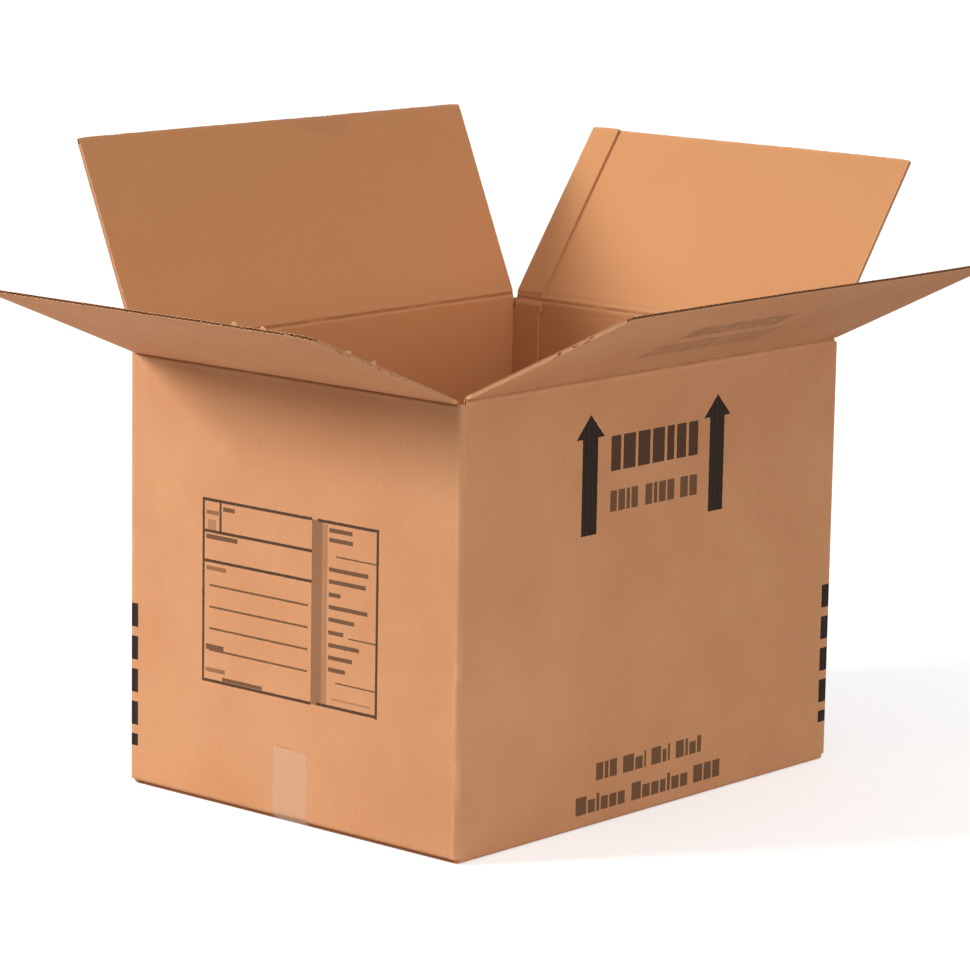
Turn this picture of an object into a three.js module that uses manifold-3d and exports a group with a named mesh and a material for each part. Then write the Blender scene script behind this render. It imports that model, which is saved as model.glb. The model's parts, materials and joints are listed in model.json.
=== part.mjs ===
// Moving box: a regular slotted carton of single-wall corrugated board, standing open.
// Millimetres, +Z up, +X along the length, origin at the centre of the underside.
//
// The carton is one cut and creased sheet. Its four walls, the corner posts between them, the
// glued lap and the folded bottom flaps are one solid. Each top flap is a solid of its own,
// because it turns about its crease. A strip of clear tape closes the bottom seam.

import * as THREE from 'three';
import { mergeVertices } from 'three/addons/utils/BufferGeometryUtils.js';
import Module from 'manifold-3d';

const wasm = await Module();
wasm.setup();

// Inside of the closed carton
const INSIDE_LENGTH = 609.6;
const INSIDE_WIDTH = 457.2;
const INSIDE_DEPTH = 457.2;

// Board and its folds
const BOARD = 4.0;
const FOLD_INNER_RADIUS = 0.4;
const FOLD_OUTER_RADIUS = FOLD_INNER_RADIUS + BOARD;
const LAYER_GAP = 0.3;
const SEAM_GAP = 1.0;
const SLOT_WIDTH = 9.6;
const SLOT_OVERCUT = 1.5;
const ARC_STEPS = 6;

// Crease that a top flap turns on: both sides are crushed to a thin edge beside the axis
const CREASE_LENGTH = 10.0;
const CREASE_EDGE = 0.1;
const CREASE_GAP = 0.3;

// Lap that glues the rear wall's end to the inside of the right wall and its flap
const LAP_WIDTH = 38.0;
const LAP_THICKNESS = 3.2;
const LAP_FLOOR_CLEARANCE = 8.0;

// Clear tape along the bottom seam and up both end walls
const TAPE_WIDTH = 48.0;
const TAPE_THICKNESS = 0.1;
const TAPE_SEAT_GAP = 0.05;
const TAPE_OFFSET = -3.0;
const TAPE_TOP = 79.0;

// How far each top flap leans outward from the upright, in degrees
const FRONT_LEAN_DEGREES = 63.43;
const REAR_LEAN_DEGREES = 22.47;
const LEFT_LEAN_DEGREES = 68.39;
const RIGHT_LEAN_DEGREES = 36.32;

// Sizes that follow from the ones above
const LENGTH = INSIDE_LENGTH + 2 * BOARD;
const WIDTH = INSIDE_WIDTH + 2 * BOARD;
const FLAP_LENGTH = (INSIDE_WIDTH + BOARD - SEAM_GAP) / 2;
const LAYER_PITCH = BOARD + LAYER_GAP;
const FLOOR_TOP = LAYER_PITCH + BOARD;
const END_HINGE_HEIGHT = FLOOR_TOP + INSIDE_DEPTH + BOARD / 2;
const SIDE_HINGE_HEIGHT = END_HINGE_HEIGHT + LAYER_PITCH;
const SIDE_HALF_RUN = (LENGTH - BOARD - SLOT_WIDTH) / 2;
const END_HALF_RUN = (WIDTH - BOARD - SLOT_WIDTH) / 2;
const POST_BOTTOM = LAYER_PITCH + SLOT_OVERCUT;
const POST_TOP = END_HINGE_HEIGHT - SLOT_OVERCUT;

// Directions that the four walls face, as turns about +Z from +X
const RIGHT = 0;
const REAR = Math.PI / 2;
const LEFT = Math.PI;
const FRONT = -Math.PI / 2;

const kraftOutside = new THREE.MeshStandardMaterial({ color: 0xd29a6c, roughness: 0.85, metalness: 0 });
const kraftFlap = new THREE.MeshStandardMaterial({ color: 0xc68e60, roughness: 0.85, metalness: 0 });
const clearTape = new THREE.MeshStandardMaterial({ color: 0xe4b896, roughness: 0.3, metalness: 0 });

// Turns a closed geometry into a solid that can be joined and cut.
function toSolid(geometry) {
  const bare = geometry.index ? geometry.toNonIndexed() : geometry.clone();
  bare.deleteAttribute('normal');
  bare.deleteAttribute('uv');
  const merged = mergeVertices(bare, 1e-4);
  return new wasm.Manifold(new wasm.Mesh({
    numProp: 3,
    vertProperties: Float32Array.from(merged.attributes.position.array),
    triVerts: Uint32Array.from(merged.index.array),
  }));
}

// Turns a solid back into a geometry.
function toGeometry(solid) {
  const mesh = solid.getMesh();
  const geometry = new THREE.BufferGeometry();
  geometry.setAttribute('position', new THREE.BufferAttribute(Float32Array.from(mesh.vertProperties), 3));
  geometry.setIndex(new THREE.BufferAttribute(Uint32Array.from(mesh.triVerts), 1));
  geometry.computeVertexNormals();
  return geometry;
}

// Joins a list of solids into one.
function join(solids) {
  return solids.reduce((sum, solid) => sum.add(solid));
}

// Extrudes a shape evenly to both sides of its own plane.
function extrudeBothWays(shape, halfLength) {
  const geometry = new THREE.ExtrudeGeometry(shape, {
    depth: 2 * halfLength,
    bevelEnabled: false,
    curveSegments: ARC_STEPS,
  });
  return geometry.translate(0, 0, -halfLength);
}

// Stands an extruded section upright: its x becomes the given level direction, its y becomes +Z.
function standSection(geometry, levelAxis) {
  const up = new THREE.Vector3(0, 0, 1);
  const run = new THREE.Vector3().crossVectors(levelAxis, up);
  return geometry.applyMatrix4(new THREE.Matrix4().makeBasis(levelAxis, up, run));
}

// Level unit vector for one of the four facings, free of rounding.
function facingVector(facing) {
  return new THREE.Vector3(Math.round(Math.cos(facing)), Math.round(Math.sin(facing)), 0);
}

// A box given by its lowest and highest corners.
function boxBetween(low, high) {
  const size = high.map((value, i) => value - low[i]);
  const centre = high.map((value, i) => (value + low[i]) / 2);
  return toSolid(new THREE.BoxGeometry(...size).translate(...centre));
}

// Section of one wall with the bottom flap folded in from its foot and the crease on its top
// edge. x runs inward from the wall's outer face and y runs up.
function wallSection(footHeight, hingeHeight) {
  const flapEdge = BOARD / 2 + FLAP_LENGTH;
  const foldCentreHeight = footHeight + FOLD_OUTER_RADIUS;
  const creaseFoot = hingeHeight - CREASE_LENGTH;
  const creaseTop = hingeHeight - CREASE_GAP;
  const section = new THREE.Shape();
  section.moveTo(flapEdge, footHeight);
  section.lineTo(flapEdge, footHeight + BOARD);
  section.lineTo(FOLD_OUTER_RADIUS, footHeight + BOARD);
  section.absarc(FOLD_OUTER_RADIUS, foldCentreHeight, FOLD_INNER_RADIUS, -Math.PI / 2, -Math.PI, true);
  section.lineTo(BOARD, creaseFoot);
  section.lineTo((BOARD + CREASE_EDGE) / 2, creaseTop);
  section.lineTo((BOARD - CREASE_EDGE) / 2, creaseTop);
  section.lineTo(0, creaseFoot);
  section.lineTo(0, foldCentreHeight);
  section.absarc(FOLD_OUTER_RADIUS, foldCentreHeight, FOLD_OUTER_RADIUS, Math.PI, 1.5 * Math.PI, false);
  section.closePath();
  return section;
}

// One wall between its two corner slots, with its bottom flap.
function makeWall(facing, outerDistance, halfRun, footHeight, hingeHeight) {
  const outward = facingVector(facing);
  const geometry = extrudeBothWays(wallSection(footHeight, hingeHeight), halfRun);
  standSection(geometry, outward.clone().negate());
  return toSolid(geometry.translate(...outward.multiplyScalar(outerDistance).toArray()));
}

// The upright fold between two walls, in the quarter where x and y have the given signs.
function makeCornerPost(signX, signY) {
  const x0 = SIDE_HALF_RUN;
  const y0 = END_HALF_RUN;
  const x1 = LENGTH / 2;
  const y1 = WIDTH / 2;
  const centreX = x1 - FOLD_OUTER_RADIUS;
  const centreY = y1 - FOLD_OUTER_RADIUS;
  const section = new THREE.Shape();
  section.moveTo(x1, y0);
  section.lineTo(x1, centreY);
  section.absarc(centreX, centreY, FOLD_OUTER_RADIUS, 0, Math.PI / 2, false);
  section.lineTo(x0, y1);
  section.lineTo(x0, y1 - BOARD);
  section.lineTo(centreX, y1 - BOARD);
  section.absarc(centreX, centreY, FOLD_INNER_RADIUS, Math.PI / 2, 0, true);
  section.lineTo(x1 - BOARD, y0);
  section.closePath();
  const height = POST_TOP - POST_BOTTOM;
  const post = toSolid(extrudeBothWays(section, height / 2).translate(0, 0, POST_BOTTOM + height / 2));
  return post.scale([signX, signY, 1]);
}

// The lap inside the right wall, beside the corner that it is folded from.
function makeWallLap() {
  const innerX = LENGTH / 2 - BOARD;
  const innerY = WIDTH / 2 - BOARD;
  return boxBetween(
    [innerX - LAP_THICKNESS, innerY - LAP_WIDTH, FLOOR_TOP + LAP_FLOOR_CLEARANCE],
    [innerX, innerY, END_HINGE_HEIGHT - CREASE_LENGTH - LAP_THICKNESS],
  );
}

// Half of the line that the tape follows, seen from the front: from the middle of the bottom to
// its end on the right wall. It spans from the end of the outer bottom flap to the wall's fold.
function tapeHalfPath() {
  const foldX = LENGTH / 2 - FOLD_OUTER_RADIUS;
  const foldZ = LAYER_PITCH + FOLD_OUTER_RADIUS;
  const reachX = foldX - SIDE_HALF_RUN;
  const reach = Math.hypot(reachX, foldZ);
  const slope = Math.atan2(foldZ, reachX) - Math.asin(FOLD_OUTER_RADIUS / reach);
  const path = [new THREE.Vector2(0, 0), new THREE.Vector2(SIDE_HALF_RUN, 0)];
  const firstAngle = slope - Math.PI / 2;
  for (let i = 0; i <= ARC_STEPS; i += 1) {
    const angle = firstAngle * (1 - i / ARC_STEPS);
    path.push(new THREE.Vector2(
      foldX + FOLD_OUTER_RADIUS * Math.cos(angle),
      foldZ + FOLD_OUTER_RADIUS * Math.sin(angle),
    ));
  }
  path.push(new THREE.Vector2(LENGTH / 2, TAPE_TOP));
  return path;
}

// The same line moved inward by a depth, with mitred corners.
function insetPath(path, depth) {
  const leftNormal = (from, to) => {
    const along = to.clone().sub(from).normalize();
    return new THREE.Vector2(-along.y, along.x);
  };
  return path.map((point, i) => {
    const before = i > 0 ? leftNormal(path[i - 1], point) : leftNormal(point, path[i + 1]);
    const after = i < path.length - 1 ? leftNormal(point, path[i + 1]) : before;
    const mitre = before.clone().add(after).normalize();
    return point.clone().addScaledVector(mitre, depth / mitre.dot(after));
  });
}

// A band along the whole tape line, from one end wall to the other, of the given depth and width.
function makeTapeBand(depth, width) {
  const outer = tapeHalfPath();
  const inner = insetPath(outer, depth);
  const mirrored = (path) => path.slice(1).reverse().map((point) => new THREE.Vector2(-point.x, point.y));
  const outline = [...mirrored(outer), ...outer, ...inner.slice().reverse(), ...mirrored(inner).reverse()];
  const geometry = extrudeBothWays(new THREE.Shape(outline), width / 2);
  standSection(geometry, new THREE.Vector3(1, 0, 0));
  return geometry.translate(0, TAPE_OFFSET, 0);
}

// The folded sheet without its top flaps.
function makeCartonBody() {
  const sheet = join([
    makeWall(FRONT, WIDTH / 2, SIDE_HALF_RUN, 0, SIDE_HINGE_HEIGHT),
    makeWall(REAR, WIDTH / 2, SIDE_HALF_RUN, 0, SIDE_HINGE_HEIGHT),
    makeWall(LEFT, LENGTH / 2, END_HALF_RUN, LAYER_PITCH, END_HINGE_HEIGHT),
    makeWall(RIGHT, LENGTH / 2, END_HALF_RUN, LAYER_PITCH, END_HINGE_HEIGHT),
    makeCornerPost(1, 1),
    makeCornerPost(-1, 1),
    makeCornerPost(-1, -1),
    makeCornerPost(1, -1),
    makeWallLap(),
  ]);
  const tapeRecess = makeTapeBand(TAPE_THICKNESS + TAPE_SEAT_GAP, TAPE_WIDTH + 2 * TAPE_SEAT_GAP);
  return sheet.subtract(toSolid(tapeRecess));
}

// Section of a top flap standing upright on its axis. x runs outward and y runs up.
function flapSection() {
  const section = new THREE.Shape();
  section.moveTo(CREASE_EDGE / 2, CREASE_GAP);
  section.lineTo(BOARD / 2, CREASE_LENGTH);
  section.lineTo(BOARD / 2, FLAP_LENGTH);
  section.lineTo(-BOARD / 2, FLAP_LENGTH);
  section.lineTo(-BOARD / 2, CREASE_LENGTH);
  section.lineTo(-CREASE_EDGE / 2, CREASE_GAP);
  section.closePath();
  return section;
}

// Section of the lap on the inner face of the right flap, with a sloped foot beside the crease.
function flapLapSection() {
  const section = new THREE.Shape();
  section.moveTo(-BOARD / 2, CREASE_LENGTH);
  section.lineTo(-BOARD / 2, FLAP_LENGTH);
  section.lineTo(-BOARD / 2 - LAP_THICKNESS, FLAP_LENGTH);
  section.lineTo(-BOARD / 2 - LAP_THICKNESS, CREASE_LENGTH + LAP_THICKNESS);
  section.closePath();
  return section;
}

// A flap's geometry about its own axis, which lies along its y.
function makeFlapGeometry(halfRun) {
  return standSection(extrudeBothWays(flapSection(), halfRun), new THREE.Vector3(1, 0, 0));
}

// The right flap, doubled by the lap along its rear side.
function makeLappedFlapGeometry(halfRun) {
  const lap = standSection(extrudeBothWays(flapLapSection(), LAP_WIDTH / 2), new THREE.Vector3(1, 0, 0));
  lap.translate(0, halfRun - LAP_WIDTH / 2, 0);
  return toGeometry(toSolid(makeFlapGeometry(halfRun)).add(toSolid(lap)));
}

// Hangs a flap on its wall: it turns to the wall's facing, then leans outward about the crease.
function hangFlap(name, geometry, facing, hingeDistance, hingeHeight, leanDegrees) {
  const mesh = new THREE.Mesh(geometry, kraftFlap);
  mesh.name = name;
  const crease = new THREE.Group();
  crease.position.set(hingeDistance, 0, hingeHeight);
  crease.rotation.y = THREE.MathUtils.degToRad(leanDegrees);
  crease.add(mesh);
  const side = new THREE.Group();
  side.rotation.z = facing;
  side.add(crease);
  return side;
}

const carton = new THREE.Group();

const body = new THREE.Mesh(toGeometry(makeCartonBody()), kraftOutside);
body.name = 'carton_body';
carton.add(body);

const tape = new THREE.Mesh(makeTapeBand(TAPE_THICKNESS, TAPE_WIDTH), clearTape);
tape.name = 'bottom_tape';
carton.add(tape);

const sideHingeDistance = (WIDTH - BOARD) / 2;
const endHingeDistance = (LENGTH - BOARD) / 2;
const sideFlap = makeFlapGeometry(SIDE_HALF_RUN);
const leftFlap = makeFlapGeometry(END_HALF_RUN);
const rightFlap = makeLappedFlapGeometry(END_HALF_RUN);
carton.add(hangFlap('front_flap', sideFlap, FRONT, sideHingeDistance, SIDE_HINGE_HEIGHT, FRONT_LEAN_DEGREES));
carton.add(hangFlap('rear_flap', sideFlap.clone(), REAR, sideHingeDistance, SIDE_HINGE_HEIGHT, REAR_LEAN_DEGREES));
carton.add(hangFlap('left_flap', leftFlap, LEFT, endHingeDistance, END_HINGE_HEIGHT, LEFT_LEAN_DEGREES));
carton.add(hangFlap('right_flap', rightFlap, RIGHT, endHingeDistance, END_HINGE_HEIGHT, RIGHT_LEAN_DEGREES));

export default carton;
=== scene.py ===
"""Looks of an open moving carton of corrugated board: its board, creases, print, tape and studio.

Lengths are in metres in the carton's own frame: +X along its length, +Z up, origin at the
centre of its underside. Sizes written in millimetres pass through mm().
"""

from __future__ import annotations

import json
import logging
import math
import random
from collections.abc import Callable, Iterable, Sequence
from dataclasses import dataclass, field
from enum import Enum

import bmesh
import bpy
from mathutils import Matrix, Vector, noise

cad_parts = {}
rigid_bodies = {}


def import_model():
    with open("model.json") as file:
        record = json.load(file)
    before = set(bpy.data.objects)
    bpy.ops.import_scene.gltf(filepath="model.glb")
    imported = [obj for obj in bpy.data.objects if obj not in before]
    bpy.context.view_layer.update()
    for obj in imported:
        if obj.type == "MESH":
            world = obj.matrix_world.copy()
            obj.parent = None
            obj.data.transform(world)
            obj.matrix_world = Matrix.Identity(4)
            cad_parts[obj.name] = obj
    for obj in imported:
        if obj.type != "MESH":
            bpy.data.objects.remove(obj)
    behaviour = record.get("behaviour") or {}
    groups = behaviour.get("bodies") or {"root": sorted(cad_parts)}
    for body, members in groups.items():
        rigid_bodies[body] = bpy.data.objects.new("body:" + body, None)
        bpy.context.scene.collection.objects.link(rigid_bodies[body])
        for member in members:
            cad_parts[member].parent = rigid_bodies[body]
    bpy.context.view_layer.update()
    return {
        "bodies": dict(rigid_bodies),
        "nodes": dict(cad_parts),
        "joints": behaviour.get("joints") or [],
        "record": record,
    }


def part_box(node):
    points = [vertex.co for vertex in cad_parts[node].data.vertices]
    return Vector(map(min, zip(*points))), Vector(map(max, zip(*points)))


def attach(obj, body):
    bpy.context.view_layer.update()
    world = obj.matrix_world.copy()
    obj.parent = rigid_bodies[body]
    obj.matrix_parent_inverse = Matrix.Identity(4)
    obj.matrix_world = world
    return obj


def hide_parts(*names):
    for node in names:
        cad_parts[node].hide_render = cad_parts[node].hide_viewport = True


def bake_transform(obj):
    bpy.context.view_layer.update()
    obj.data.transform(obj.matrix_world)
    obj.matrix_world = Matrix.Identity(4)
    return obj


log = logging.getLogger("carton")

UP = Vector((0.0, 0.0, 1.0))
Colour = tuple[float, float, float]
Warp = Callable[[float, float], float]
Place = Callable[[float, float, float], Vector]
Socket = bpy.types.NodeSocket
Material = bpy.types.Material
BLACK = (0.0, 0.0, 0.0, 1.0)
WHITE = (1.0, 1.0, 1.0, 1.0)


def mm(length: float) -> float:
    """Millimetres as metres."""
    return length * 0.001


def smooth_step(share: float) -> float:
    """Eased 0 to 1 for a share that is cut to that range."""
    held = min(1.0, max(0.0, share))
    return held * held * (3.0 - 2.0 * held)


def even_steps(low: float, high: float, count: int) -> list[float]:
    """Evenly spaced values from low to high, both included.

    Args:
        low: First value.
        high: Last value.
        count: Number of steps between them.

    Returns:
        count + 1 values.
    """
    return [low + (high - low) * i / count for i in range(count + 1)]


class Value:
    """A number socket that arithmetic can be written with."""

    def __init__(self, graph: "Graph", socket: Socket) -> None:
        """Wraps one output socket of the graph."""
        self.graph = graph
        self.socket = socket

    def _math(self, operation: str, *operands: "Value | float") -> "Value":
        """Adds one Math node that takes the operands in order."""
        settings = {"operation": operation}
        return self.graph.value("ShaderNodeMath", 0, settings, dict(enumerate(operands)))

    def __add__(self, other: "Value | float") -> "Value":
        """Sum."""
        return self._math("ADD", self, other)

    __radd__ = __add__

    def __sub__(self, other: "Value | float") -> "Value":
        """Difference."""
        return self._math("SUBTRACT", self, other)

    def __rsub__(self, other: float) -> "Value":
        """Difference from a number."""
        return self._math("SUBTRACT", other, self)

    def __mul__(self, other: "Value | float") -> "Value":
        """Product."""
        return self._math("MULTIPLY", self, other)

    __rmul__ = __mul__

    def __truediv__(self, other: "Value | float") -> "Value":
        """Quotient."""
        return self._math("DIVIDE", self, other)

    def __gt__(self, other: "Value | float") -> "Value":
        """1 where this is the greater, else 0."""
        return self._math("GREATER_THAN", self, other)

    def __lt__(self, other: "Value | float") -> "Value":
        """1 where this is the lesser, else 0."""
        return self._math("LESS_THAN", self, other)

    def near(self, centre: "Value | float", reach: float) -> "Value":
        """1 within reach of the centre, else 0."""
        return self._math("COMPARE", self, centre, reach)

    def larger(self, other: "Value | float") -> "Value":
        """The larger of the two."""
        return self._math("MAXIMUM", self, other)

    def smaller(self, other: "Value | float") -> "Value":
        """The smaller of the two."""
        return self._math("MINIMUM", self, other)

    def size(self) -> "Value":
        """Absolute value."""
        return self._math("ABSOLUTE", self)

    def sign(self) -> "Value":
        """-1, 0 or 1."""
        return self._math("SIGN", self)

    def cosine(self) -> "Value":
        """Cosine of an angle in radians."""
        return self._math("COSINE", self)

    def ramp(self, low: float, high: float) -> "Value":
        """Eased 0 to 1 as the value goes from low to high.

        Args:
            low: Value up to which it stays 0.
            high: Value from which it is 1.

        Returns:
            The eased share.
        """
        settings = {"interpolation_type": "SMOOTHSTEP"}
        inputs = {"Value": self, "From Min": low, "From Max": high}
        return self.graph.value("ShaderNodeMapRange", 0, settings, inputs)


Input = Value | float | Sequence[float] | Socket
Inputs = dict[str | int, Input]
Settings = dict[str, object]


class Graph:
    """The node tree of one material or of the world."""

    def __init__(self, tree: bpy.types.NodeTree) -> None:
        """Clears the tree, so that every node in it is placed here."""
        tree.nodes.clear()
        self.tree = tree

    def node(
        self, kind: str, settings: Settings | None = None, inputs: Inputs | None = None
    ) -> bpy.types.Node:
        """Adds one node.

        Args:
            kind: The node's type.
            settings: Its own properties. stops are a colour ramp's (position, colour) pairs.
            inputs: Values or links for its sockets, by name or by number.

        Returns:
            The new node.
        """
        made = self.tree.nodes.new(kind)
        for name, setting in (settings or {}).items():
            if name == "stops":
                self._set_stops(made.color_ramp, setting)
            else:
                setattr(made, name, setting)
        for name, given in (inputs or {}).items():
            socket = made.inputs[name]
            if isinstance(given, Value):
                self.tree.links.new(given.socket, socket)
            elif isinstance(given, Socket):
                self.tree.links.new(given, socket)
            else:
                socket.default_value = given
        return made

    @staticmethod
    def _set_stops(ramp: bpy.types.ColorRamp, stops: Sequence[tuple[float, Colour]]) -> None:
        """Gives a colour ramp its stops.

        Args:
            ramp: The node's ramp.
            stops: Its (position, colour) pairs.
        """
        while len(ramp.elements) < len(stops):
            ramp.elements.new(1.0)
        for element, (position, colour) in zip(ramp.elements, stops):
            element.position = position
            element.color = (*colour, 1.0)

    def value(self, kind: str, output: str | int, settings: Settings, inputs: Inputs) -> Value:
        """Adds one node and wraps one of its outputs as a number."""
        return Value(self, self.node(kind, settings, inputs).outputs[output])

    def split(self, vector: Socket) -> tuple[Value, Value, Value]:
        """The three parts of a vector."""
        made = self.node("ShaderNodeSeparateXYZ", {}, {0: vector})
        return tuple(Value(self, made.outputs[i]) for i in range(3))

    def along(self, vector: Socket, direction: Vector, start: Vector) -> Value:
        """How far a point lies along a direction from a starting point.

        Args:
            vector: The point.
            direction: Unit direction.
            start: Where it is 0.

        Returns:
            The distance, in metres.
        """
        settings = {"operation": "DOT_PRODUCT"}
        product = self.value("ShaderNodeVectorMath", "Value", settings, {0: vector, 1: tuple(direction)})
        return product - start.dot(direction)

    def stretch(self, vector: Socket, factors: Sequence[float]) -> Socket:
        """The vector with each part multiplied by its factor."""
        settings = {"operation": "MULTIPLY"}
        return self.node("ShaderNodeVectorMath", settings, {0: vector, 1: tuple(factors)}).outputs[0]

    def noise(self, vector: Socket, scale: float, detail: float = 2.0) -> Value:
        """Smooth noise around 0.5."""
        inputs = {"Vector": vector, "Scale": scale, "Detail": detail, "Roughness": 0.55}
        return self.value("ShaderNodeTexNoise", 0, {}, inputs)

    def tint(self, share: Input, first: Input, second: Input) -> Socket:
        """A colour between two colours.

        Args:
            share: 0 for the first colour, 1 for the second.
            first: First colour.
            second: Second colour.

        Returns:
            The mixed colour's socket.
        """
        settings = {"data_type": "RGBA", "blend_type": "MIX"}
        inputs = {"Factor": share, 6: first, 7: second}
        return self.node("ShaderNodeMix", settings, inputs).outputs[2]

    def bump(self, height: Value, strength: float = 1.0, distance: float = 1.0) -> Socket:
        """A normal bent by a height."""
        inputs = {"Strength": strength, "Distance": distance, "Height": height}
        return self.node("ShaderNodeBump", {}, inputs).outputs[0]

    def surface(self, inputs: Inputs) -> None:
        """Wires one Principled shader with these inputs to the material's output."""
        shader = self.node("ShaderNodeBsdfPrincipled", {}, inputs)
        self.node("ShaderNodeOutputMaterial", {}, {"Surface": shader.outputs[0]})

    def shown(self) -> Value:
        """1 for the rays that show the background: from the camera, off gloss and through glass.

        Returns:
            1 for those rays, 0 for the ones that only bring light.
        """
        path = self.node("ShaderNodeLightPath")
        kinds = ("Camera", "Glossy", "Transmission")
        camera, glossy, through = (Value(self, path.outputs[f"Is {kind} Ray"]) for kind in kinds)
        return camera.larger(glossy).larger(through)

    def shade(self, colour: Input, factor: Value) -> Socket:
        """A colour made lighter or darker by a factor."""
        settings = {"operation": "SCALE"}
        return self.node("ShaderNodeVectorMath", settings, {0: colour, "Scale": factor}).outputs[0]


class Ink(Enum):
    """How strongly a printed mark covers the board."""

    SOLID = 1.0
    LINE = 0.9
    TEXT = 0.76
    TINT = 0.56
    PALE = 0.34
    GHOST = 0.24


@dataclass(frozen=True)
class Bar:
    """A printed rectangle, in millimetres on its panel: u to the right, v up."""

    left: float
    right: float
    low: float
    high: float
    ink: Ink = Ink.LINE

    def mask(self, u: Value, v: Value) -> Value:
        """1 on the rectangle, else 0.

        Args:
            u: Place across the panel, in metres.
            v: Place up the panel, in metres.

        Returns:
            The mask.
        """
        across = u.near(mm(self.left + self.right) / 2, mm(self.right - self.left) / 2)
        upward = v.near(mm(self.low + self.high) / 2, mm(self.high - self.low) / 2)
        return across * upward


@dataclass(frozen=True)
class Arrow:
    """A printed upright arrow, in millimetres on its panel."""

    middle: float
    foot: float
    shoulder: float
    tip: float
    shaft_width: float = 24.5
    head_width: float = 45.0
    ink: Ink = Ink.SOLID

    def mask(self, u: Value, v: Value) -> Value:
        """1 on the arrow, else 0.

        Args:
            u: Place across the panel, in metres.
            v: Place up the panel, in metres.

        Returns:
            The mask.
        """
        half_shaft = self.shaft_width / 2
        shaft = Bar(self.middle - half_shaft, self.middle + half_shaft, self.foot, self.shoulder + 1.0)
        slope = self.head_width / 2 / (self.tip - self.shoulder)
        room = (mm(self.tip) - v) * slope
        head = ((u - mm(self.middle)).size() < room) * (v > mm(self.shoulder))
        return shaft.mask(u, v).larger(head)


@dataclass(frozen=True)
class Artwork:
    """Plain printed marks on one kind of panel."""

    marks: tuple[Bar | Arrow, ...]

    def coverage(self, u: Value, v: Value) -> Value:
        """How much ink lies on each point.

        Args:
            u: Place across the panel, in metres.
            v: Place up the panel, in metres.

        Returns:
            0 on bare board, up to 1 under solid ink.
        """
        covered: Value | None = None
        for ink in Ink:
            level: Value | None = None
            for mark in (mark for mark in self.marks if mark.ink is ink):
                mask = mark.mask(u, v)
                level = mask if level is None else level.larger(mask)
            if level is not None:
                strength = level * ink.value
                covered = strength if covered is None else covered.larger(strength)
        return covered


def form_rules() -> tuple[Bar, ...]:
    """The outline, the heavy rules and the lines to write on of the form on the end walls.

    Returns:
        The bars, in millimetres on the end wall.
    """
    low, high = 131.0, 326.5
    left, middle, right = -124.5, 32.0, 124.5
    thick = 3.2
    half_line = 1.1
    level = tuple(Bar(left, middle, row, row + thick) for row in (low, 258.6, 290.2, high - thick))
    right_block = tuple(Bar(middle + 8.0, right, row, row + thick) for row in (low + 1.0, high - thick))
    upright = tuple(Bar(side, side + thick, low, high) for side in (left, right - thick))
    written = (234.5, 211.5, 188.5, 165.5)
    lines = tuple(Bar(-114.0, 27.0, row - half_line, row + half_line, Ink.TEXT) for row in written)
    return level + right_block + upright + lines


def form_blocks() -> tuple[Bar, ...]:
    """The form's small square, its grey bands, and plain blocks in place of its small words.

    Returns:
        The blocks, in millimetres on the end wall.
    """
    rows = (
        (-100.0, -97.0, 291.0, 325.0, Ink.LINE),
        (-117.0, -105.0, 293.5, 304.0, Ink.PALE),
        (-119.0, -101.0, 309.5, 314.0, Ink.TINT),
        (-95.0, -78.0, 315.0, 319.5, Ink.TEXT),
        (-119.0, -74.0, 283.5, 288.5, Ink.TEXT),
        (-119.0, -90.0, 250.5, 255.0, Ink.TINT),
        (-119.0, -93.0, 165.5, 171.5, Ink.TEXT),
        (-119.0, -91.0, 142.0, 146.5, Ink.TINT),
        (-95.0, -37.0, 134.5, 138.5, Ink.TEXT),
        (32.0, 46.5, 132.0, 325.0, Ink.TINT),
        (46.5, 54.0, 132.0, 322.0, Ink.PALE),
    )
    return tuple(Bar(*row) for row in rows)


def form_list() -> tuple[Bar, ...]:
    """Plain bars in place of the list in the form's right block.

    Returns:
        The bars, in millimetres on the end wall.
    """
    first = 56.0
    half_row = 2.2
    half_rule = 0.8
    rows = (
        (317.0, 88.0),
        (307.0, 89.0),
        (276.5, 110.5),
        (264.0, 107.0),
        (250.5, 72.5),
        (237.5, 110.0),
        (224.5, 92.0),
        (211.0, 77.0),
        (198.0, 99.0),
        (185.0, 89.5),
        (172.5, 80.0),
    )
    rules = ((66.0, 290.5), (66.0, 159.5), (84.0, 208.4))
    bars = tuple(Bar(first, end, row - half_row, row + half_row, Ink.TEXT) for row, end in rows)
    bars += tuple(Bar(start, 123.0, row - half_rule, row + half_rule, Ink.TEXT) for start, row in rules)
    return bars + (Bar(60.0, 115.0, 141.0, 143.0, Ink.PALE),)


def word_blocks(
    first: float,
    last: float,
    low: float,
    high: float,
    widths: Sequence[float],
    gap: float,
    ink: Ink,
    short: float = 1.0,
) -> tuple[Bar, ...]:
    """A row of plain upright blocks in place of a word.

    Args:
        first: Where the row starts, in millimetres.
        last: Where it ends.
        low: Its lower edge.
        high: Its upper edge.
        widths: How wide the blocks are beside each other, in any unit.
        gap: Space between two blocks, in millimetres.
        ink: How strongly it is printed.
        short: Height of the blocks after the first, as a share of the row. Narrow ones stay tall.

    Returns:
        One bar for each block.
    """
    unit = (last - first - gap * (len(widths) - 1)) / sum(widths)
    bars = []
    edge = first
    narrow = min(widths) + 1
    for i, width in enumerate(widths):
        tall = i == 0 or width < narrow
        top = high if tall else low + (high - low) * short
        bars.append(Bar(edge, edge + width * unit, low, top, ink))
        edge += width * unit + gap
    return tuple(bars)


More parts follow.
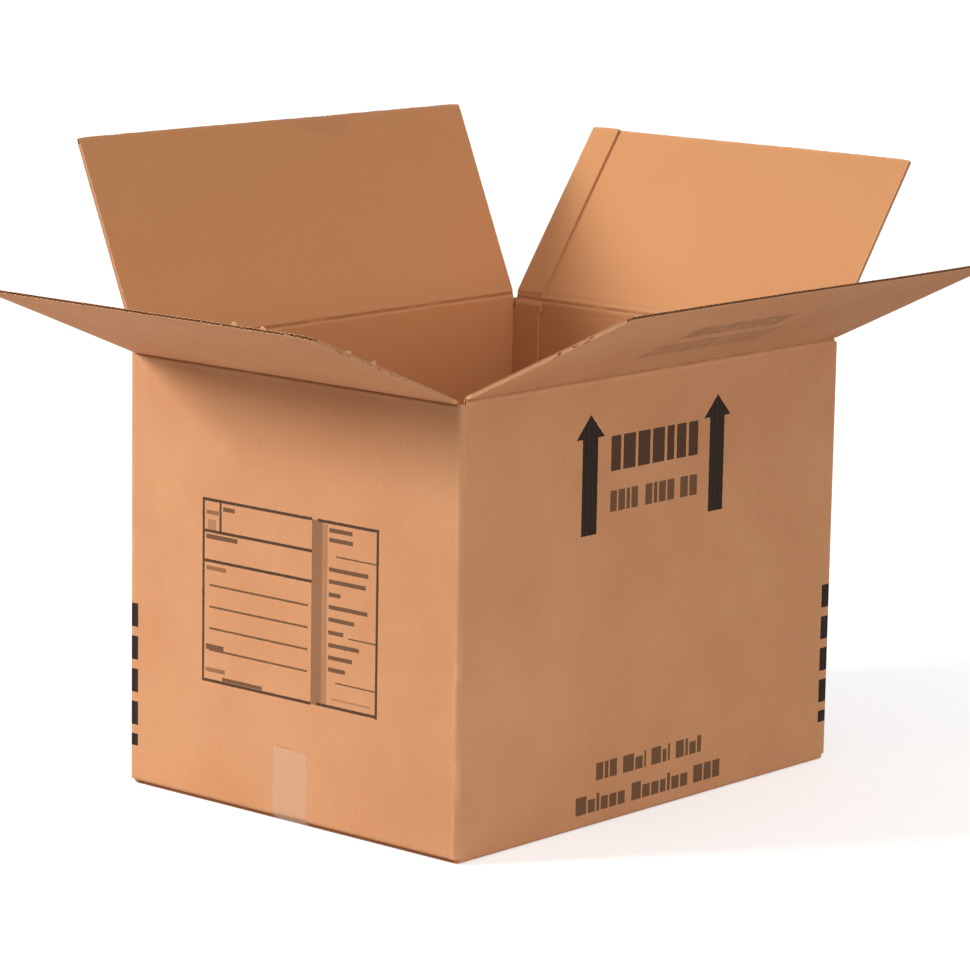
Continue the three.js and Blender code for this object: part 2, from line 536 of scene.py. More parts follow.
def side_words() -> tuple[Bar, ...]:
    """Plain blocks in place of the words on the long walls.

    Returns:
        One bar for each block, in millimetres on the long wall.
    """
    text = Ink.TEXT
    even, low_case = 1.0, 0.74
    rows = (
        (-77.0, 66.0, 371.5, 408.0, (4, 5, 5, 5, 3, 4, 4), 4.2, Ink.LINE, even),
        (-77.0, -32.0, 329.0, 351.0, (4, 4, 2, 4), 2.6, text, even),
        (-20.0, 28.0, 329.0, 351.0, (4, 2, 4, 4), 2.6, text, even),
        (38.0, 66.0, 329.0, 351.0, (4, 4), 2.6, text, even),
        (-90.0, -56.0, 47.5, 66.0, (4, 2, 4), 2.4, text, even),
        (-46.0, -8.0, 47.5, 66.0, (6, 4, 1), 2.6, text, low_case),
        (1.0, 32.0, 47.5, 66.0, (5, 2, 1), 2.6, text, low_case),
        (42.0, 85.0, 47.5, 66.0, (5, 1.6, 4, 2.4), 2.4, text, low_case),
        (-122.0, -42.0, 15.0, 34.0, (6, 4, 1.6, 4, 4, 4), 2.4, text, low_case),
        (-31.0, 63.0, 15.0, 34.0, (5, 4, 4, 3, 1.6, 4, 4), 2.4, text, low_case),
        (73.0, 118.0, 15.0, 34.0, (5, 4, 4), 2.4, text, low_case),
    )
    return tuple(bar for row in rows for bar in word_blocks(*row))


END_WALL_ART = Artwork(form_rules() + form_blocks() + form_list())
LONG_WALL_ART = Artwork(
    (Arrow(-110.5, 309.0, 409.5, 434.0), Arrow(98.0, 307.5, 408.5, 432.0)) + side_words()
)
FLAP_ART = Artwork(
    (Bar(-112.0, 88.0, 62.0, 102.0, Ink.GHOST), Bar(-105.0, 55.0, 118.0, 152.0, Ink.PALE))
)


@dataclass(frozen=True)
class Corner:
    """Where printed dashes run round two opposite upright folds."""

    reach_x: float = mm(16.0)
    reach_y: float = mm(12.5)
    first_top: float = mm(198.0)
    pitch: float = mm(35.6)
    height: float = mm(25.5)
    short_low: float = mm(43.0)
    short_high: float = mm(56.0)
    count: int = 4

    def mask(self, z: Value) -> Value:
        """1 at the heights of the dashes, else 0.

        Args:
            z: Height on the carton, in metres.

        Returns:
            The mask.
        """
        dashes = z.near((self.short_low + self.short_high) / 2, (self.short_high - self.short_low) / 2)
        for i in range(self.count):
            middle = self.first_top - i * self.pitch - self.height / 2
            dashes = dashes.larger(z.near(middle, self.height / 2))
        return dashes


@dataclass(frozen=True)
class Board:
    """The corrugated board: two liners glued to a fluted medium."""

    thickness: float
    liner: float = mm(0.34)
    medium: float = mm(0.3)
    flute_pitch: float = mm(7.8)

    @property
    def half(self) -> float:
        """From the board's middle to its face."""
        return self.thickness / 2


@dataclass(frozen=True)
class Marks:
    """What changes the bare board from place to place, each 0 to 1 where it is given."""

    ink: Value | None = None
    # Wear at corners and edges, and a painted highlight on the ridges beside the creases.
    wear_and_highlight: Value | None = None
    # Painted shade along the creases and on the cut edges under the end walls.
    painted_shade: Value | None = None
    inside: Value | None = None


@dataclass(frozen=True)
class Kraft:
    """Brown kraft liner: fibre, mottle, the flutes showing through, and ink."""

    base: Colour = (0.618, 0.304, 0.149)
    deep: Colour = (0.558, 0.254, 0.118)
    pale: Colour = (0.735, 0.402, 0.222)
    inside: Colour = (0.618, 0.290, 0.124)
    # Painted shade colour, laid along the creases and on the cut edges under the end walls.
    painted_shade: Colour = (0.300, 0.120, 0.050)
    ink: Colour = (0.014, 0.009, 0.006)
    roughness: float = 0.85
    specular: float = 0.2
    flute_pitch: float = mm(7.8)
    flute_relief: float = mm(0.022)
    fibre_relief: float = mm(0.02)

    def finish(self, graph: Graph, place: Socket, across: Value, marks: Marks) -> None:
        """Wires the finish to the output.

        Args:
            graph: The material's nodes.
            place: The point on the carton.
            across: Distance across the flutes, in metres.
            marks: What changes the bare board from place to place.
        """
        wave = (across * (2.0 * math.pi / self.flute_pitch)).cosine()
        mottle = graph.noise(place, 9.0, 3.0)
        grain = graph.noise(graph.stretch(place, (1.0, 1.0, 6.0)), 260.0, 3.0)
        fleck = graph.noise(graph.stretch(place, (1.0, 1.0, 2.5)), 900.0, 1.0).ramp(0.66, 0.76)
        tone = (mottle * 0.75 + grain * 0.55 - 0.15).ramp(0.25, 0.75)
        board = graph.tint(tone, (*self.deep, 1.0), (*self.base, 1.0))
        board = graph.tint(fleck * 0.3, board, (*self.deep, 1.0))
        if marks.inside is not None:
            board = graph.tint(marks.inside * 0.8, board, (*self.inside, 1.0))
        # Paler where the board is rubbed at corners and edges, and a painted highlight on the ridges
        # beside the creases.
        if marks.wear_and_highlight is not None:
            board = graph.tint(marks.wear_and_highlight, board, (*self.pale, 1.0))
        # Painted shade: darkens the crease lines and the cut edges tucked under the end walls.
        if marks.painted_shade is not None:
            board = graph.tint(marks.painted_shade, board, (*self.painted_shade, 1.0))
        board = graph.shade(board, wave * 0.008 + 1.0)
        rough = grain * 0.12 + (self.roughness - 0.06)
        if marks.ink is not None:
            spread = graph.noise(place, 1400.0, 2.0).ramp(0.28, 0.42)
            solid = marks.ink * (wave * 0.01 + 0.99) * (spread * 0.07 + 0.93)
            board = graph.tint(solid, board, (*self.ink, 1.0))
        relief = wave * self.flute_relief + grain * self.fibre_relief
        sway = graph.noise(place, 5.5, 1.0) * mm(5.0)
        normal = graph.bump(relief + sway)
        gloss = {"Roughness": rough, "Specular IOR Level": self.specular}
        graph.surface({"Base Color": board, "Normal": normal, **gloss})


@dataclass(frozen=True)
class Medium:
    """The rougher, greyer paper of the flutes and of the board's cut edges."""

    base: Colour = (0.57, 0.300, 0.155)
    dark: Colour = (0.42, 0.210, 0.105)
    roughness: float = 0.92
    specular: float = 0.25

    def material(self, name: str) -> Material:
        """Makes the material.

        Args:
            name: The material's name.

        Returns:
            The material.
        """
        made, graph, place = new_material(name)
        grain = graph.noise(place, 700.0, 3.0)
        colour = graph.tint(grain.ramp(0.3, 0.7), (*self.dark, 1.0), (*self.base, 1.0))
        rough = grain * 0.1 + (self.roughness - 0.05)
        gloss = {"Roughness": rough, "Specular IOR Level": self.specular}
        graph.surface({"Base Color": colour, "Normal": graph.bump(grain, 0.6, mm(0.2)), **gloss})
        return made


@dataclass(frozen=True)
class ClearFilm:
    """Clear packing tape over kraft: paler, glossy, with faint stretch lines and bubbles."""

    film: Colour = (0.84, 0.58, 0.38)
    bubble: Colour = (0.88, 0.66, 0.47)
    alpha: float = 0.24
    roughness: float = 0.4
    specular: float = 0.35

    def material(self, name: str) -> Material:
        """Makes the material.

        Args:
            name: The material's name.

        Returns:
            The material.
        """
        made, graph, place = new_material(name)
        streak = graph.noise(graph.stretch(place, (0.4, 6.0, 0.4)), 90.0, 2.0)
        bubble = graph.noise(place, 160.0, 2.0).ramp(0.6, 0.72)
        colour = graph.tint(bubble * 0.5, (*self.film, 1.0), (*self.bubble, 1.0))
        height = streak * mm(0.008) + bubble * mm(0.002)
        cover = {"Base Color": colour, "Alpha": bubble * 0.04 + self.alpha}
        rough = streak * 0.1 + (self.roughness - 0.05)
        gloss = {"Roughness": rough, "Specular IOR Level": self.specular}
        graph.surface({"Normal": graph.bump(height), **cover, **gloss})
        return made


def new_material(name: str) -> tuple[Material, Graph, Socket]:
    """Starts a material.

    Args:
        name: The material's name.

    Returns:
        The material, its empty graph, and the socket that gives the point on the carton.
    """
    made = bpy.data.materials.new(name)
    made.use_nodes = True
    graph = Graph(made.node_tree)
    place = graph.node("ShaderNodeTexCoord").outputs["Object"]
    return made, graph, place


@dataclass(frozen=True)
class Crease:
    """The fold that one top flap turns on, with the flap's size and lean."""

    name: str
    body: str
    pivot: Vector
    outward: Vector
    lean: float
    half_run: float
    reach: float

    @property
    def run(self) -> Vector:
        """Unit vector along the crease."""
        return UP.cross(self.outward)

    def direction(self, lean: float) -> tuple[Vector, Vector]:
        """Up the flap, and out of its outer face, at a lean from the upright.

        Args:
            lean: Angle outward from the upright, in radians.

        Returns:
            Both unit directions.
        """
        along = math.cos(lean) * UP + math.sin(lean) * self.outward
        face = math.cos(lean) * self.outward - math.sin(lean) * UP
        return along, face

    def on_flap(self, u: float, v: float, w: float) -> Vector:
        """A point of the flap.

        Args:
            u: Distance along the crease from its middle.
            v: Distance up the flap from the crease.
            w: Distance out from the middle of the board.

        Returns:
            The point at rest.
        """
        along, face = self.direction(self.lean)
        return self.pivot + u * self.run + v * along + w * face

    def on_fold(self, u: float, v: float, w: float, turn_reach: float) -> Vector:
        """A point of the fold, which turns from the wall to the flap within turn_reach.

        Args:
            u: Distance along the crease from its middle.
            v: Distance up from the crease, below 0 on the wall.
            w: Distance out from the middle of the board.
            turn_reach: How far from the crease the turn ends.

        Returns:
            The point at rest.
        """
        share = smooth_step((v + turn_reach) / (2.0 * turn_reach))
        along, face = self.direction(self.lean * share)
        return self.pivot + u * self.run + v * along + w * face


class Sheet:
    """A mesh put together from closed slabs of board, liner and medium."""

    def __init__(self, name: str) -> None:
        """Starts an empty mesh."""
        self.name = name
        self.mesh = bmesh.new()

    def slab(
        self,
        us: Sequence[float],
        vs: Sequence[float],
        low: Warp,
        high: Warp,
        place: Place,
        material: int = 0,
    ) -> None:
        """Adds a closed slab between two height fields.

        Args:
            us: Grid values across.
            vs: Grid values up.
            low: Lower face's height over the grid.
            high: Upper face's height over the grid.
            place: Turns u, v and height into a point.
            material: Index of the slab's material.
        """
        new = self.mesh.verts.new
        bottom = [[new(place(u, v, low(u, v))) for v in vs] for u in us]
        top = [[new(place(u, v, high(u, v))) for v in vs] for u in us]
        faces = []
        for i in range(len(us) - 1):
            for j in range(len(vs) - 1):
                faces.append((top[i][j], top[i + 1][j], top[i + 1][j + 1], top[i][j + 1]))
                faces.append((bottom[i][j], bottom[i][j + 1], bottom[i + 1][j + 1], bottom[i + 1][j]))
        for i in range(len(us) - 1):
            faces.append((bottom[i][0], bottom[i + 1][0], top[i + 1][0], top[i][0]))
            faces.append((bottom[i + 1][-1], bottom[i][-1], top[i][-1], top[i + 1][-1]))
        for j in range(len(vs) - 1):
            faces.append((bottom[0][j + 1], bottom[0][j], top[0][j], top[0][j + 1]))
            faces.append((bottom[-1][j], bottom[-1][j + 1], top[-1][j + 1], top[-1][j]))
        for corners in faces:
            face = self.mesh.faces.new(corners)
            face.material_index = material
            face.smooth = True

    def flutes(
        self,
        us: Sequence[float],
        vs: Sequence[float],
        middle: Warp,
        thickness: float,
        place: Place,
    ) -> None:
        """Adds the board's wavy medium, of a thickness around its middle, in the second material."""
        half = thickness / 2
        self.slab(us, vs, lambda u, v: middle(u, v) - half, lambda u, v: middle(u, v) + half, place, 1)

    def finish(self, materials: Iterable[Material]) -> bpy.types.Object:
        """Turns the slabs into an object in the scene.

        Args:
            materials: The materials that the slabs name by index.

        Returns:
            The new object.
        """
        bmesh.ops.recalc_face_normals(self.mesh, faces=self.mesh.faces)
        sharp_angle = math.radians(35.0)
        for edge in self.mesh.edges:
            edge.smooth = edge.calc_face_angle(math.pi) < sharp_angle
        data = bpy.data.meshes.new(self.name)
        self.mesh.to_mesh(data)
        self.mesh.free()
        made = bpy.data.objects.new(self.name, data)
        bpy.context.scene.collection.objects.link(made)
        for material in materials:
            data.materials.append(material)
        return made


@dataclass(frozen=True)
class Tuft:
    """A torn sliver of paper at a flap's edge, given in the flap's own u and v."""

    u: float
    v: float
    toward_u: float
    toward_v: float
    length: float
    width: float
    lift: float
    side: float


def torn_edge(
    start: tuple[float, float],
    end: tuple[float, float],
    toward: tuple[float, float],
    count: int,
    seed: int,
) -> tuple[Tuft, ...]:
    """Small slivers scattered along one edge of a flap.

    Args:
        start: The edge's first point, as u and v.
        end: Its last point.
        toward: Unit direction out of the flap, as u and v.
        count: How many slivers.
        seed: Seed of their places and sizes.

    Returns:
        The slivers.
    """
    pick = random.Random(seed)
    tufts = []
    for _ in range(count):
        share = pick.random()
        turn = pick.uniform(-0.5, 0.5)
        tufts.append(
            Tuft(
                u=start[0] + (end[0] - start[0]) * share,
                v=start[1] + (end[1] - start[1]) * share,
                toward_u=toward[0] * math.cos(turn) - toward[1] * math.sin(turn),
                toward_v=toward[0] * math.sin(turn) + toward[1] * math.cos(turn),
                length=mm(pick.uniform(1.0, 2.4)),
                width=mm(pick.uniform(2.5, 7.0)),
                lift=mm(pick.uniform(-0.8, 0.8)),
                side=pick.choice((-1.0, -0.3, 0.4, 1.0)),
            )
        )
    return tuple(tufts)


@dataclass
class TopFlap:
    """One top flap as real board: liners, a core, and flutes that open on its free edge."""

    crease: Crease
    board: Board
    seed: float
    curl: float = mm(2.4)
    ripple: float = mm(0.5)
    inside_edge: float = mm(9.6)
    flute_depth: float = mm(6.0)
    side_recess: float = mm(0.5)
    crushed: float = mm(0.55)
    crush_reach: float = mm(7.0)
    corner_wear: tuple[float, float] = (mm(1.0), mm(0.8))
    corner_reach: float = mm(22.0)
    fray: float = mm(0.35)
    chip_depth: float = mm(1.3)
    chip_level: float = 0.42
    tuft_root: float = mm(1.5)
    tuft_thickness: float = mm(0.4)
    tuft_sway: float = mm(0.3)
    tufts: tuple[Tuft, ...] = ()
    columns: int = 150
    flute_steps: int = 10
    lap_width: float = 0.0
    lap_thickness: float = mm(3.2)
    lap_foot: float = mm(13.0)
    rows: tuple[float, ...] = field(default=(0.0, 0.05, 0.2, 0.4, 0.6, 0.8, 0.92, 0.97, 1.0))

    def warp(self, u: float, v: float) -> float:
        """How far the flap bows: the long flaps out and the end flaps in, so that they close freely.

        Args:
            u: Distance along the crease from its middle.
            v: Distance up the flap.

        Returns:
            The distance outward, in metres.
        """
        share = max(0.0, v / self.crease.reach)
        swell = 0.5 + 0.5 * noise.noise(Vector((u * 4.0 + self.seed, v * 5.0, self.seed)))
        fine = 0.5 + 0.5 * noise.noise(Vector((u * 22.0, v * 16.0, self.seed + 7.0)))
        bow = self.curl * share * swell + self.ripple * fine * min(1.0, share * 6.0)
        return bow if abs(self.crease.outward.y) > 0.5 else -bow

    def crush(self, v: float) -> float:
        """How far each face is pressed in near the free edge, where the knife crushed the flutes."""
        return self.crushed * smooth_step((v - self.crease.reach + self.crush_reach) / self.crush_reach)

    def ragged(self, u: float, v: float, layer: float) -> float:
        """How far a cut edge is torn back or out at a place, for one layer of the board.

        Args:
            u: Distance along the crease from its middle.
            v: Distance up the flap.
            layer: Number of the layer, so that each one tears by itself.

        Returns:
            The distance up the flap, in metres, below 0 where it is torn back.
        """
        share = smooth_step((v / self.crease.reach - 0.9) / 0.1)
        rough = noise.noise(Vector((u * 160.0, layer * 9.0, self.seed)))
        chip = noise.noise(Vector((u * 34.0, layer * 5.0, self.seed + 3.0)))
        wear = self.corner_wear[0] if u < 0.0 else self.corner_wear[1]
        near = max(0.0, 1.0 - (self.crease.half_run - abs(u)) / self.corner_reach)
        chipped = self.chip_depth * max(0.0, abs(chip) - self.chip_level)
        return share * (self.fray * rough - chipped - wear * near * near)

    def place(self, layer: float) -> Place:
        """Turns u, v and height into a point, with the edge of one layer.

        Args:
            layer: Number of the layer.

        Returns:
            The function that places a point.
        """

        def put(u: float, v: float, w: float) -> Vector:
            """One point of the layer."""
            return self.crease.on_flap(u, v + self.ragged(u, v, layer), w + self.warp(u, v))

        return put

    def add_layers(
        self, sheet: Sheet, left: float, right: float, inner: float, outer: float, foot: float
    ) -> None:
        """Adds liners, core and flutes between two heights.

        Args:
            sheet: The mesh to add to.
            left: Lowest u of the layers.
            right: Highest u.
            inner: Height of the inner face.
            outer: Height of the outer face.
            foot: Lowest v.
        """
        reach = self.crease.reach
        liner = self.board.liner
        middle = (inner + outer) / 2
        share = (right - left) / (2 * self.crease.half_run)
        us = even_steps(left, right, max(8, int(self.columns * share)))
        vs = [foot + (reach - foot) * row for row in self.rows]
        crush = self.crush
        for layer, low, side in ((1.0, outer - liner, -1.0), (2.0, inner, 1.0)):

            def face(u: float, v: float, low: float = low, side: float = side) -> float:
                """Lower face of the liner, pressed in near the free edge."""
                return low + side * crush(v)

            sheet.slab(us, vs, face, lambda u, v, face=face: face(u, v) + liner, self.place(layer))
        core_left = left + self.side_recess
        core_right = right - self.side_recess
        core_us = even_steps(core_left, core_right, 24)
        core_vs = even_steps(foot, reach - self.flute_depth, 8)
        core = self.place(3.0)
        sheet.slab(core_us, core_vs, lambda u, v: inner + liner, lambda u, v: outer - liner, core, 1)
        swing = (outer - inner) / 2 - liner - self.board.medium / 2
        step = self.board.flute_pitch / self.flute_steps
        flute_us = even_steps(core_left, core_right, int((right - left) / step))
        flute_vs = even_steps(reach - self.flute_depth, reach, 3)

        def wave(u: float, v: float) -> float:
            """Height of the medium's middle."""
            return middle + (swing - crush(v)) * math.cos(2.0 * math.pi * u / self.board.flute_pitch)

        sheet.flutes(flute_us, flute_vs, wave, self.board.medium, self.place(3.0))

    def add_tuft(self, sheet: Sheet, tuft: Tuft) -> None:
        """Adds one torn sliver of paper that stands off an edge.

        Args:
            sheet: The mesh to add to.
            tuft: The sliver.
        """
        side_u, side_v = -tuft.toward_v, tuft.toward_u
        foot = self.board.half - self.crushed

        def put(a: float, b: float, w: float) -> Vector:
            """One point of the sliver: a across it, b along it from its foot.

            Args:
                a: Distance across the sliver from its middle.
                b: Distance along it from its foot.
                w: Height within its thickness.

            Returns:
                The point at rest.
            """
            share = b / tuft.length
            rounded = math.sqrt(max(0.04, 1.0 - share * share)) if share > 0.0 else 1.0
            narrow = a * rounded + self.tuft_sway * math.sin(share * 4.0 + tuft.u * 90.0)
            u = tuft.u + b * tuft.toward_u + narrow * side_u
            v = tuft.v + b * tuft.toward_v + narrow * side_v
            height = tuft.side * foot + w + tuft.lift * share * share
            return self.crease.on_flap(u, v, height + self.warp(u, v))

        us = even_steps(-tuft.width / 2, tuft.width / 2, 4)
        vs = even_steps(-self.tuft_root, tuft.length, 8)
        sheet.slab(us, vs, lambda a, b: 0.0, lambda a, b: self.tuft_thickness, put, 2)

    def build(self, liner: Material, medium: Material, fibre: Material) -> bpy.types.Object:
        """Makes the flap and lets it ride on its body.

        Args:
            liner: Finish of the faces.
            medium: Finish of the flutes and the core.
            fibre: Finish of torn paper.

        Returns:
            The flap's object.
        """
        sheet = Sheet(f"{self.crease.name}_board")
        half = self.board.half
        run = self.crease.half_run
        self.add_layers(sheet, -run, run, -half, half, self.inside_edge)
        if self.lap_width:
            under = -half - self.lap_thickness
            self.add_layers(sheet, run - self.lap_width, run, under, -half, self.lap_foot)
        for tuft in self.tufts:
            self.add_tuft(sheet, tuft)
        made = sheet.finish((liner, medium, fibre))
        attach(made, self.crease.body)
        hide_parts(self.crease.name)
        log.info("%s: %d faces", made.name, len(made.data.polygons))
        return made


@dataclass
class CreaseFold:
    """The pressed fold that joins a flap to its wall, bent to the flap's lean at rest."""

    crease: Crease
    board: Board
    length: float = mm(10.5)
    turn_reach: float = mm(4.0)
    pressed_inside: float = mm(0.75)
    pressed_outside: float = mm(1.25)
    press_reach: float = mm(4.0)
    proud: float = mm(0.04)
    unevenness: float = mm(0.25)
    lap_press: float = 2.4
    lap_width: float = 0.0
    lap_thickness: float = mm(3.2)
    lap_length: float = mm(13.4)
    columns: int = 120

    def face_at(self, v: float, pressed: float, extra: float = 0.0) -> float:
        """Distance from the board's middle to a face.

        Args:
            v: Distance from the crease.
            pressed: The distance at the crease itself.
            extra: What a further layer of board adds away from the crease.

        Returns:
            The distance.
        """
        full = self.board.half + self.proud + extra
        return pressed + (full - pressed) * smooth_step(abs(v) / (self.press_reach + extra))

    def build(self, liner: Material) -> bpy.types.Object:
        """Makes the fold and bends it between the carton and the flap.

        Args:
            liner: Finish of the fold.

        Returns:
            The fold's object.
        """
        sheet = Sheet(f"{self.crease.name}_crease")
        run = self.crease.half_run
        us = even_steps(-run, run, self.columns)
        vs = even_steps(-self.length, self.length, 28)

        def put(u: float, v: float, w: float) -> Vector:
            """One point of the fold, with its slight unevenness.

            Args:
                u: Distance along the crease from its middle.
                v: Distance up from the crease, below 0 on the wall.
                w: Distance out from the middle of the board.

            Returns:
                The point at rest.
            """
            pressed = 1.0 - smooth_step(abs(v) / self.press_reach)
            uneven = noise.noise(Vector((u * 45.0, v * 120.0, self.crease.pivot.x * 9.0)))
            return self.crease.on_fold(u, v, w + self.unevenness * uneven * pressed, self.turn_reach)

        inner = self.pressed_inside
        outer = self.pressed_outside
        sheet.slab(
            us, vs, lambda u, v: -self.face_at(v, inner), lambda u, v: self.face_at(v, outer), put
        )
        if self.lap_width:
            lap_us = even_steps(run - self.lap_width, run, 16)
            lap_vs = even_steps(-self.lap_length, self.lap_length, 36)
            lap = self.lap_thickness
            sheet.slab(
                lap_us,
                lap_vs,
                lambda u, v: -self.face_at(v, inner * self.lap_press, lap),
                lambda u, v: -self.face_at(v, inner) + self.proud * 2,
                put,
            )
        made = sheet.finish((liner,))
        start = self.crease.on_fold(0.0, -self.turn_reach, 0.0, self.turn_reach)
        end = self.crease.on_fold(0.0, self.turn_reach, 0.0, self.turn_reach)
        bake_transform(made)
        log.info("%s: %d faces", made.name, len(made.data.polygons))
        return made


@dataclass
class SeamTape:
    """Clear tape along the bottom seam and up both end walls, with saw-cut ends."""

    half_length: float
    half_run: float
    layer: float
    fold_radius: float
    low: float
    high: float
    top: float
    thickness: float = mm(0.09)
    tooth_pitch: float = mm(1.7)
    tooth_depth: float = mm(1.1)
    cut_wander: float = mm(1.5)
    fold_clearance: float = mm(20.0)

    def half_path(self) -> list[tuple[float, float]]:
        """The line from the middle of the bottom to the end on one wall, as x and z.

        Returns:
            The points in order.
        """
        fold_x = self.half_length - self.fold_radius
        fold_z = self.layer + self.fold_radius
        reach_x = fold_x - self.half_run
        reach = math.hypot(reach_x, fold_z)
        slope = math.atan2(fold_z, reach_x) - math.asin(self.fold_radius / reach)
        path = [(x, 0.0) for x in even_steps(0.0, self.half_run, 12)]
        for angle in even_steps(slope - math.pi / 2, 0.0, 8):
            x = fold_x + self.fold_radius * math.cos(angle)
            path.append((x, fold_z + self.fold_radius * math.sin(angle)))
        path += [(self.half_length, z) for z in even_steps(self.fold_clearance, self.top, 10)]
        return path

    def build(self, film: Material) -> bpy.types.Object:
        """Makes the tape and lets it ride on the carton.

        Args:
            film: Finish of the tape.

        Returns:
            The tape's object.
        """
        right = self.half_path()
        path = [(-x, z) for x, z in reversed(right[1:])] + right
        columns = int((self.high - self.low) / self.tooth_pitch) * 2
        us = even_steps(self.low, self.high, columns)
        tooth = {u: (i % 2) * self.tooth_depth for i, u in enumerate(us)}
        sheet = Sheet("bottom_tape_film")
        last = len(path) - 1

        def put(u: float, v: float, w: float) -> Vector:
            """One point of the tape. v counts the path's points.

            Args:
                u: Distance across the tape's width.
                v: Number of the path's point.
                w: Distance out from the carton.

            Returns:
                The point at rest.
            """
            i = int(round(v))
            x, z = path[i]
            before = Vector(path[max(0, i - 1)])
            after = Vector(path[min(last, i + 1)])
            along = (after - before).normalized()
            cut = 0.0
            if i in (0, last):
                cut = tooth[u] + self.cut_wander * noise.noise(Vector((u * 60.0, x * 3.0, 0.5)))
            return Vector((x - along.y * w, u, z + along.x * w - cut))

        vs = [float(i) for i in range(last + 1)]
        sheet.slab(us, vs, lambda u, v: 0.0, lambda u, v: self.thickness, put)
        made = sheet.finish((film,))
        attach(made, "carton")
        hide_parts("bottom_tape")
        log.info("%s: %d faces", made.name, len(made.data.polygons))
        return made


@dataclass
class InnerFlapEdges:
    """The fluted free edges of the two inner bottom flaps, seen down inside the carton."""

    board: Board
    edge_x: float
    half_run: float
    low: float
    depth: float = mm(0.4)
    flute_steps: int = 8

    def build(self, liner: Material, medium: Material) -> list[bpy.types.Object]:
        """Makes both edges and lets them ride on the carton.

        Args:
            liner: Finish of the faces.
            medium: Finish of the flutes.

        Returns:
            The two objects.
        """
        made = []
        for side, name in ((-1.0, "left_inner_edge"), (1.0, "right_inner_edge")):
            sheet = Sheet(name)
            middle = self.low + self.board.half
            swing = self.board.half - self.board.liner - self.board.medium / 2
            step = self.board.flute_pitch / self.flute_steps
            us = even_steps(-self.half_run, self.half_run, int(2 * self.half_run / step))
            vs = [0.0, self.depth]

            def put(u: float, v: float, w: float, side: float = side) -> Vector:
                """One point of the edge."""
                return Vector((side * (self.edge_x - v), u, w))

            def wave(u: float, v: float) -> float:
                """Height of the medium's middle."""
                return middle + swing * math.cos(2.0 * math.pi * u / self.board.flute_pitch)

            top = self.low + self.board.thickness
            thin = self.board.liner
            sheet.slab(us[::8], vs, lambda u, v: self.low, lambda u, v: self.low + thin, put)
            sheet.slab(us[::8], vs, lambda u, v: top - thin, lambda u, v: top, put)
            sheet.flutes(us, vs, wave, self.board.medium, put)
            edge = sheet.finish((liner, medium))
            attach(edge, "carton")
            made.append(edge)
            log.info("%s: %d faces", edge.name, len(edge.data.polygons))
        return made


